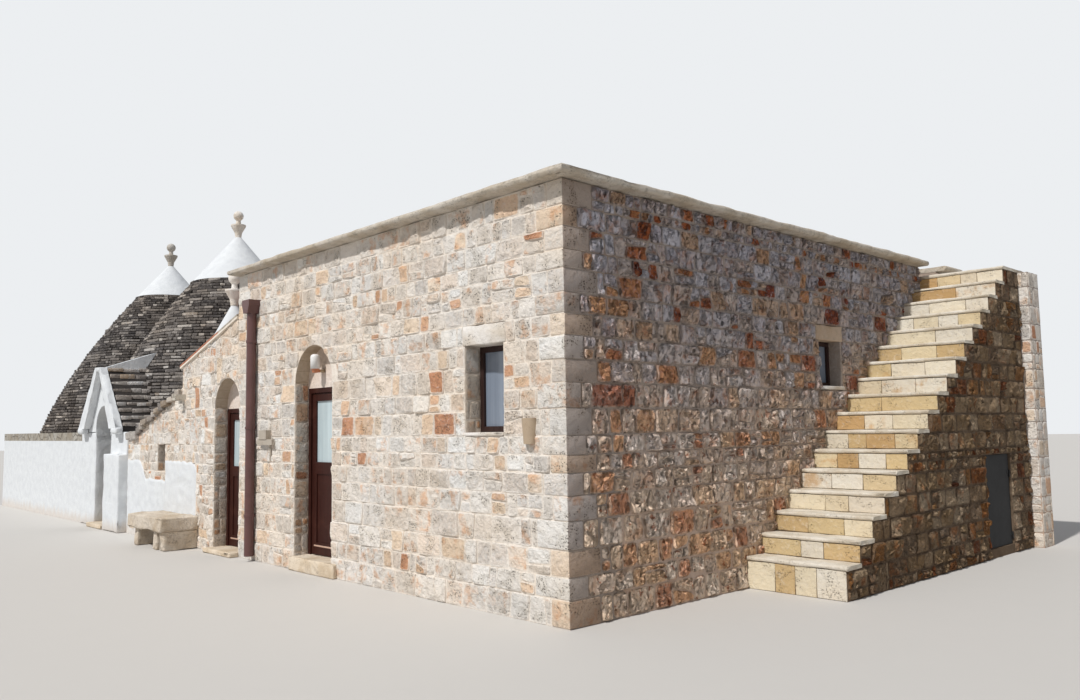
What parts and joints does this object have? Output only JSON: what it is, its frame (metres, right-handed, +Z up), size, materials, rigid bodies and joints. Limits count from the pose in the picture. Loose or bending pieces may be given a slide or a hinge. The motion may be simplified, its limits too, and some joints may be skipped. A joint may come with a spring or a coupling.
{
  "type": "stone house with cone roofs",
  "caption": "Stone house with a flat roofed block, outside stair, low wing and dry stone cone roofs with white caps; its doors swing.",
  "frame": {"origin": "middle of the whole house's box, on the ground", "axes": "+X along the facade to the outside stair, +Y from the facade into the house, +Z up"},
  "size_m": [18.71, 7.85, 5.734],
  "materials": {
    "worn_floor": "matte",
    "beige_slab": "matte",
    "cream_rubble": "matte",
    "roof_stone": "matte",
    "coping_stone": "matte",
    "pitted_stone": "matte",
    "dark_wood": "satin",
    "pane": "polished",
    "brown_metal": "satin",
    "pale_plastic": "matte",
    "opal": "satin",
    "ochre_stone": "matte",
    "tread_slab": "matte",
    "dark_iron": "matte",
    "grey_metal": "matte",
    "clay": "matte",
    "limewash": "matte",
    "grey_stone": "matte",
    "pale_stone": "matte"
  },
  "bodies": {
    "house": {"floors": "worn_floor", "thresholds": "beige_slab", "wall_front_right": "cream_rubble", "wall_front_middle": "cream_rubble", "walls_over_doors": "cream_rubble", "wall_wing_front": "cream_rubble", "wall_low_front": "cream_rubble", "wall_right": "cream_rubble", "wall_back": "cream_rubble", "wall_left": "cream_rubble", "end_pier": "cream_rubble", "wing_wall_left": "cream_rubble", "wing_wall_back": "cream_rubble", "roof_slab": "roof_stone", "wing_roof": "roof_stone", "coping": "coping_stone", "lintels": "pitted_stone", "sills": "pitted_stone", "bench": "pitted_stone", "door_frames": "dark_wood", "window_frames": "dark_wood", "window_glass": "pane", "downspout": "brown_metal", "meter_box": "pale_plastic", "wall_lamp": "opal", "corner_light": "coping_stone", "stair_body": "ochre_stone", "stair_treads": "tread_slab", "hinge_pins": "dark_iron", "wing_tiles": "clay", "trullo_wall_front": "limewash", "trullo_walls": "limewash", "cone_caps": "limewash", "cone_near": "limewash", "gable_piers": "limewash", "gable_top": "limewash", "gable_hood": "limewash", "trullo_roof": "grey_stone", "trullo_roof_right": "grey_stone", "cone_left": "grey_stone", "cone_middle": "grey_stone", "dormer_roof": "grey_stone", "pinnacles": "pale_stone", "stone_spout": "pale_stone"},
    "right_leaf": {"door_leaf_right": "dark_wood", "door_glass_right": "pane"},
    "left_leaf": {"door_leaf_left": "dark_wood", "door_glass_left": "pane"},
    "store_leaf": {"store_door": "grey_metal"}
  },
  "joints": [
    {"name": "right_door_hinge", "type": "hinge", "parent": "house", "child": "right_leaf", "pos_m": [4.003, -3.185, 0.9], "axis": [0, 0, 1], "range_deg": [0, 90]},
    {"name": "left_door_hinge", "type": "hinge", "parent": "house", "child": "left_leaf", "pos_m": [1.853, -3.185, 0.9], "axis": [0, 0, 1], "range_deg": [0, 90]},
    {"name": "store_door_hinge", "type": "hinge", "parent": "house", "child": "store_leaf", "pos_m": [9.223, 2.771, 0.6], "axis": [0, 0, 1], "range_deg": [0, 90]}
  ]
}
